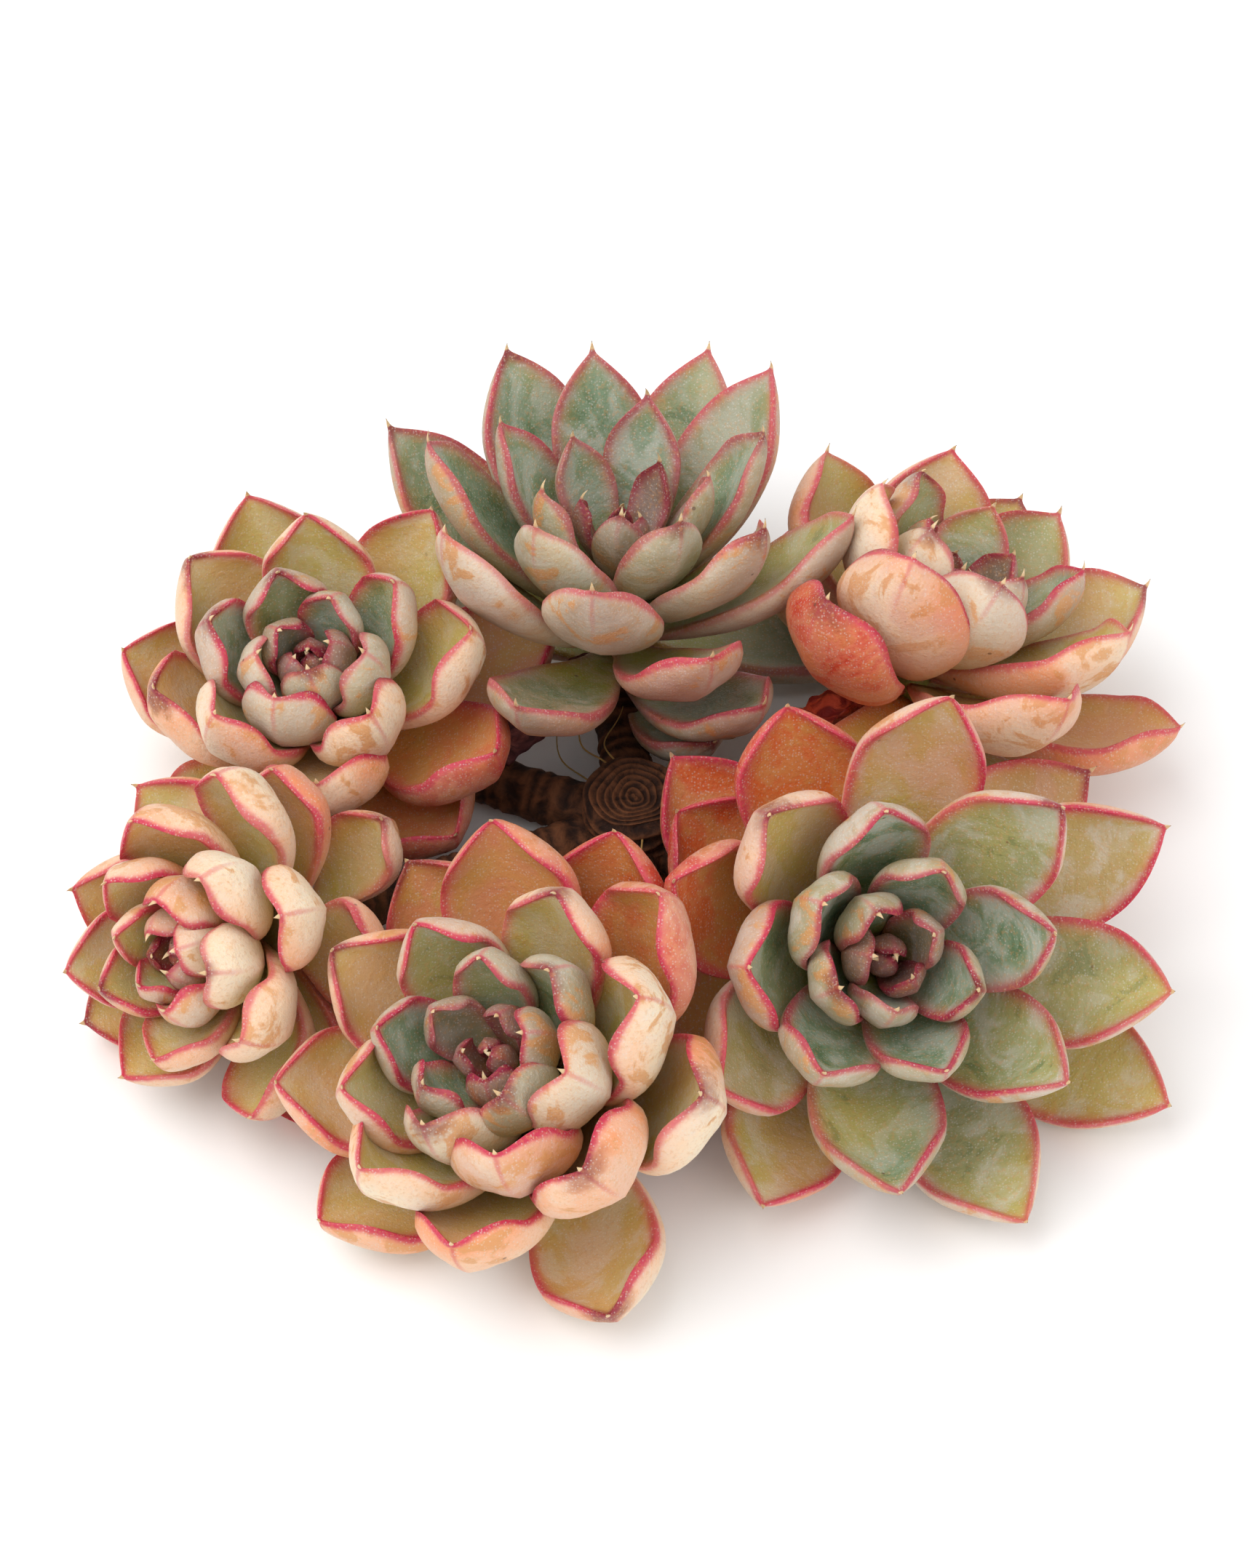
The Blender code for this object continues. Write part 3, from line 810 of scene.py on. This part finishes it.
def scar_ridge(phase):
    """Rounded ridges, one for each whole turn of phase."""
    return (0.5 + 0.5 * np.sin(phase)) ** 2


def add_stem_tube(skin, rings, ridge, young):
    """A closed length of stem, with the height of its ridges and its greenness at each point."""
    points, faces = closed_tube(rings[:, ::-1])
    place = np.stack([ridge, np.broadcast_to(young, ridge.shape), np.zeros_like(ridge)], axis=-1)
    place = place[:, ::-1].reshape(-1, 3)
    skin.add(points, faces, place=np.concatenate([place, place[:1], place[-1:]]))


def add_branch(skin, rosette, rng):
    """A branch ringed with leaf scars, greener towards its head."""
    path, share = branch_path(rosette)
    travelled = np.concatenate([[0], np.cumsum(np.linalg.norm(np.diff(path, axis=0), axis=1))])
    turn = np.linspace(0, 2 * np.pi, BRANCH_POINTS, endpoint=False)[None, :]
    scar = travelled[:, None] / SCAR_SPACING * 2 * np.pi + 1.5 * np.sin(turn + rng.uniform(0, 6))
    ridge = scar_ridge(scar + 1.3 * np.sin(scar * 0.37))
    lumps = np.sin(3 * turn + share * 17) * 0.12 + np.sin(7 * turn - share * 31) * 0.06
    radius = BRANCH_ROOT_RADIUS + (BRANCH_RADIUS - BRANCH_ROOT_RADIUS) * share
    radius = radius + (ridge * 0.3 - 0.2 + lumps) * MM
    add_stem_tube(skin, tube_rings(path, radius, BRANCH_POINTS), ridge, smooth(0.6, 1, share))


def add_stump(skin):
    """The old stem: rings of leaf scars up its side, and growth rings on its cut end."""
    turn = np.linspace(0, 2 * np.pi, STUMP_POINTS, endpoint=False)
    side = [(1.0, level, True) for level in np.linspace(0, 1, STUMP_LEVELS)]
    top = [(reach, 1.0, False) for reach in np.linspace(0.97, 0.04, STUMP_TOP_RINGS)]
    rings, ridges = [], []
    for reach, level, on_side in side + top:
        wander = np.sin(3 * turn + level * 9) * 0.25 + np.sin(5 * turn - level * 14) * 0.15
        if on_side:
            ridge = scar_ridge(
                level * STUMP_HEIGHT / STUMP_SCAR_SPACING * 2 * np.pi + 0.9 * np.sin(2 * turn))
            shrink = 1 - smooth(0.93, 1, level) * (1 - STUMP_TOP_SHARE)
            height = level * STUMP_HEIGHT * np.ones_like(turn)
        else:
            ridge = scar_ridge(
                reach * STUMP_RADIUS / GROWTH_RING_SPACING * 2 * np.pi + 1.2 * np.sin(2 * turn + 4 * reach))
            shrink = STUMP_TOP_SHARE
            height = STUMP_HEIGHT + (ridge * 0.3 - (1 - reach) * 1.1) * MM
        radius = STUMP_RADIUS * reach * shrink + (wander + ridge * 0.5 - 0.5) * MM * reach
        ring = np.stack([np.cos(turn) * radius, np.sin(turn) * radius, height], axis=1)
        rings.append(STUMP_PLACE + ring)
        ridges.append(ridge)
    add_stem_tube(skin, np.array(rings), np.array(ridges), 0.0)


@dataclass
class Dry:
    """A dried leaf: how far its sides roll in, how crumpled it is, and how far it curls."""
    name: str
    rosette: str
    turn: float
    length: float
    width: float
    curl: float
    roll: float
    crumple: float
    thickness: float


DRY_LEAVES = (
    Dry("papery_leaf", "front_rosette", 120.0, 27.0, 13.0, 30.0, 70.0, 1.3, 0.35),
    Dry("shrivelled_leaf", "back_rosette", -140.0, 22.0, 8.0, 5.0, 110.0, 0.5, 1.6),
    Dry("curled_leaf", "back_right_rosette", 215.0, 22.0, 9.0, 10.0, 125.0, 0.7, 0.5),
)


def dry_leaf(dry, rng):
    """A rolled and crumpled strip with thickness, lying as its CAD node does."""
    rosette = next(r for r in ROSETTES if r.name == dry.rosette)
    heart, axis, side, other = rosette.frame()
    turn = math.radians(dry.turn)
    leaf = Leaf(
        anchor=heart - axis * (LEAF_SPACING * (rosette.leaf_count + 1)), axis=axis,
        out=side * math.cos(turn) + other * math.sin(turn), foot=LOOSE_FOOT_RADIUS,
        length=dry.length * MM, half_width=dry.width * MM / 2, thickness=dry.thickness * MM,
        lean=0.0, curl=math.radians(dry.curl), age=1.0)
    leaf = as_settled(leaf, dry.name)
    along = np.linspace(0, 1, DRY_STATIONS)
    lean = leaf.lean - leaf.curl * along ** CURL_POWER
    step = leaf.length / (len(along) - 1)
    rise = np.concatenate([[0], np.cumsum(np.cos(lean[1:]))]) * step
    spread = np.concatenate([[0], np.cumsum(np.sin(lean[1:]))]) * step
    sideways = np.cross(leaf.axis, leaf.out)
    sway = leaf.half_width * 0.25 * np.sin(along * 5 + rng.uniform(0, 6)) * along
    centre = (leaf.root() + np.outer(rise, leaf.axis) + np.outer(spread, leaf.out)
              + np.outer(sway, sideways))
    up = np.outer(np.sin(lean), leaf.axis) - np.outer(np.cos(lean), leaf.out)
    ragged = 1 + 0.12 * np.sin(along * 21 + rng.uniform(0, 6)) + 0.08 * np.sin(along * 47)
    width_share = 0.2 + 0.8 * np.sin(np.pi * np.clip(along, 0.02, 0.98) ** 0.8) ** 0.6
    half = (leaf.half_width * width_share * ragged)[:, None]
    along = along[:, None]
    q = np.linspace(-1, 1, DRY_POINTS)[None, :]
    roll = math.radians(dry.roll) * (0.55 + 0.45 * np.sin(along * 4 + 1))
    x = half * np.sin(roll * q) / roll
    z = half * (1 - np.cos(roll * q)) / roll
    paces_across = rng.uniform(3, 14, DRY_CREASES)
    paces_along = rng.uniform(-30, 30, DRY_CREASES)
    phases = rng.uniform(0, 6, DRY_CREASES)
    creases = sum(np.sin(q * a + along * b + phase) / a
                  for a, b, phase in zip(paces_across, paces_along, phases))
    z = z + creases * dry.crumple * MM * np.sin(np.pi * np.clip(along, 0, 0.97)) ** 0.5
    body = leaf.thickness / 2 * np.clip(1.02 - np.abs(q), 0.05, 1) ** 0.3 * np.ones_like(x)
    loop_x = np.concatenate([x, x[:, ::-1]], axis=1)
    loop_z = np.concatenate([z + body, (z - body)[:, ::-1]], axis=1)
    rings = centre[:, None] + sideways * loop_x[:, :, None] + up[:, None, :] * loop_z[:, :, None]
    rings[:, :, 2] = np.maximum(rings[:, :, 2], GROUND_GAP)
    points, faces = closed_tube(rings)
    from_edge = (1 - np.abs(np.concatenate([q, q[:, ::-1]], axis=1))) * half / MM
    place = np.stack([from_edge, np.broadcast_to(along, from_edge.shape), 0 * from_edge], axis=-1)
    place = place.reshape(-1, 3)
    return points, faces, np.concatenate([place, place[:1], place[-1:]])


def add_hairs(skin, rng):
    """Fine dry roots that stray from the stump through the gap between the heads."""
    for _ in range(HAIR_COUNT):
        turn = rng.uniform(0, 2 * np.pi)
        away = np.array((math.cos(turn), math.sin(turn), 0.0))
        level = rng.uniform(0.2, 0.9) * STUMP_HEIGHT
        start = STUMP_PLACE + away * STUMP_RADIUS * 0.85 + np.array((0, 0, level))
        reach = rng.uniform(9, 24) * MM
        share = np.linspace(0, 1, HAIR_STATIONS)[:, None]
        square = np.array((-away[1], away[0], 0.0))
        wave = np.sin(share * rng.uniform(3, 8) + rng.uniform(0, 6)) * share
        upward = np.array((0, 0, 1.0))
        path = start + away * reach * share + square * wave * 3.5 * MM
        path = path + upward * (rng.uniform(-4, 7) * MM * share * (1.2 - share)
                                + np.sin(share * rng.uniform(6, 14)) * 0.8 * MM * share)
        path[:, 2] = np.maximum(path[:, 2], GROUND_GAP)
        radii = (0.16 - 0.09 * share[:, 0]) * MM
        points, faces = closed_tube(tube_rings(path, radii, HAIR_POINTS)[:, ::-1])
        skin.add(points, faces)


def tucked_leaf(rosette, look, order, seed, blocks):
    """A leaf that carries the spiral on, moved as little as keeps it clear of blocks, or None."""
    leaf = leaf_on(rosette, order)
    heart = leaf.anchor + leaf.axis * (LEAF_SPACING * order)
    below = TUCKED_STEP * (order - rosette.leaf_count + 1)
    leaf = replace(leaf, anchor=heart - leaf.axis * (rosette.crown_length() + below), age=1.0)
    side = np.cross(leaf.axis, leaf.out)
    for shorter, lean, turn in product(TUCKED_LENGTHS, TUCKED_LEANS, TUCKED_TURNS):
        angle = math.radians(turn)
        tried = replace(
            leaf,
            out=leaf.out * math.cos(angle) + side * math.sin(angle),
            lean=leaf.lean + math.radians(lean),
            length=leaf.length * shorter,
            half_width=leaf.half_width * (shorter + 1) / 2,
        )
        plump = replace(
            tried,
            half_width=tried.half_width + TUCKED_GAP,
            thickness=tried.thickness + TUCKED_GAP,
        )
        coarse = Skin()
        add_leaf(coarse, plump, look, np.random.default_rng(seed), TUCKED_STATIONS)
        if coarse.points[0][:, 2].min() < LEAST_TUCKED_HEIGHT:
            continue
        tree = coarse.tree()
        if not any(tree.overlap(block) for block in blocks):
            return tried
    return None


def tuck_leaves(material, blocks):
    """Fill the room under and between the heads with old leaves, as a crowded clump does."""
    for rank, (index, rosette) in product(range(TUCKED_LEAVES), enumerate(ROSETTES)):
        look = LOOKS[rosette.name]
        seed = (index, rosette.leaf_count + BUD_LEAVES + rank)
        leaf = tucked_leaf(rosette, look, rosette.leaf_count + rank, seed, blocks)
        if leaf:
            skin = Skin()
            add_leaf(skin, leaf, look, np.random.default_rng(seed))
            skin.piece(f"{rosette.name}_tucked_{rank + 1:02d}", material, "blushed_leaf")
            blocks.append(skin.tree())


def make_leaves(outer):
    """Every leaf that the design sets. Gives back their trees, to keep others clear of them."""
    inner = leaf_material("green_leaf_skin")
    trees = []
    for index, rosette in enumerate(ROSETTES):
        look = LOOKS[rosette.name]
        first_loose = rosette.leaf_count - rosette.loose_leaves
        heart = Skin()
        for order in range(-BUD_LEAVES, first_loose):
            rng = np.random.default_rng((index, order + BUD_LEAVES))
            stations = FULL_STATIONS if order >= FULL_STATIONS_FROM else BUD_STATIONS
            add_leaf(heart, leaf_on(rosette, order), look, rng, stations)
        add_crown(heart, rosette)
        heart.piece(f"{rosette.name}_heart_fine", inner, "green_leaf", f"{rosette.name}_heart")
        trees.append(heart.tree())
        for rank in range(rosette.loose_leaves):
            order = first_loose + rank
            node = f"{rosette.name}_leaf_{rank + 1:02d}"
            skin = Skin()
            rng = np.random.default_rng((index, order + BUD_LEAVES))
            add_leaf(skin, as_settled(leaf_on(rosette, order), node), look, rng)
            skin.piece(f"{node}_fine", outer, "blushed_leaf", node)
            trees.append(skin.tree())
    return trees


def make_stem():
    """Stump, branches and root hairs. Gives back the stump's tree: tucked leaves grow on branches."""
    rng = np.random.default_rng(STEM_SEED)
    skin = Skin()
    add_stump(skin)
    stump = skin.tree()
    for rosette in ROSETTES:
        add_branch(skin, rosette, rng)
    skin.piece("woody_stem_fine", bark_material(), "woody_bark", "woody_stem")
    hairs = Skin()
    add_hairs(hairs, rng)
    hairs.piece("root_hairs", hair_material(), "woody_bark")
    return [stump]


def make_dry_leaves():
    """The three dried leaves. Gives back their trees."""
    paints = {
        "papery_leaf": dry_material("papery_skin", linear(110, 56, 34), linear(198, 122, 78)),
        "shrivelled_leaf": dry_material("shrivelled_skin", linear(70, 34, 38), linear(140, 84, 80)),
        "curled_leaf": dry_material("curled_skin", linear(128, 30, 24), linear(206, 82, 52)),
    }
    trees = []
    for k, dry in enumerate(DRY_LEAVES):
        skin = Skin()
        points, faces, place = dry_leaf(dry, np.random.default_rng(DRY_SEED + k))
        skin.add(points, faces, place=place)
        skin.piece(f"{dry.name}_fine", paints[dry.name], "withered_leaf", dry.name)
        trees.append(skin.tree())
    return trees


def make_stage():
    """A pale floor under a white sky, with two soft lights."""
    mesh = bpy.data.meshes.new("floor")
    corners = [(x * FLOOR_REACH, y * FLOOR_REACH, 0) for x, y in ((-1, -1), (1, -1), (1, 1), (-1, 1))]
    mesh.from_pydata(corners, [], [(0, 1, 2, 3)])
    material = bpy.data.materials.new("floor")
    material.use_nodes = True
    shader = material.node_tree.nodes["Principled BSDF"]
    shader.inputs["Base Color"].default_value = (FLOOR_GREY, FLOOR_GREY, FLOOR_GREY, 1)
    shader.inputs["Roughness"].default_value = FLOOR_ROUGHNESS
    mesh.materials.append(material)
    floor = bpy.data.objects.new("floor", mesh)
    bpy.context.scene.collection.objects.link(floor)
    world = bpy.data.worlds.new("studio")
    world.use_nodes = True
    sky = world.node_tree.nodes["Background"]
    sky.inputs["Color"].default_value = (1, 1, 1, 1)
    sky.inputs["Strength"].default_value = SKY_STRENGTH
    bpy.context.scene.world = world
    add_light("key", **KEY_LIGHT)
    add_light("fill", **FILL_LIGHT)
    bpy.context.scene.view_settings.view_transform = "Standard"


def add_light(name, place, size, power):
    """A square soft light that faces the plant."""
    data = bpy.data.lights.new(name, "AREA")
    data.size = size
    data.energy = power
    light = bpy.data.objects.new(name, data)
    light.location = place
    light.rotation_euler = Vector(place).to_track_quat("Z", "Y").to_euler()
    bpy.context.scene.collection.objects.link(light)


def make_camera():
    """The photograph's view."""
    data = bpy.data.cameras.new("camera")
    data.sensor_fit = "VERTICAL"
    data.sensor_height = SENSOR_HEIGHT
    data.lens = FOCAL_PIXELS / IMAGE_HEIGHT * SENSOR_HEIGHT
    data.shift_y = SHIFT_PIXELS / IMAGE_HEIGHT
    elevation = math.radians(CAMERA_ELEVATION)
    back = Vector((0, -math.cos(elevation), math.sin(elevation)))
    camera = bpy.data.objects.new("camera", data)
    camera.location = TARGET + back * CAMERA_DISTANCE
    camera.rotation_euler = back.to_track_quat("Z", "Y").to_euler()
    bpy.context.scene.collection.objects.link(camera)
    bpy.context.scene.camera = camera


make_camera()
leaf_skin = leaf_material("blushed_leaf_skin")
tuck_leaves(leaf_skin, make_leaves(leaf_skin) + make_stem() + make_dry_leaves())
make_stage()
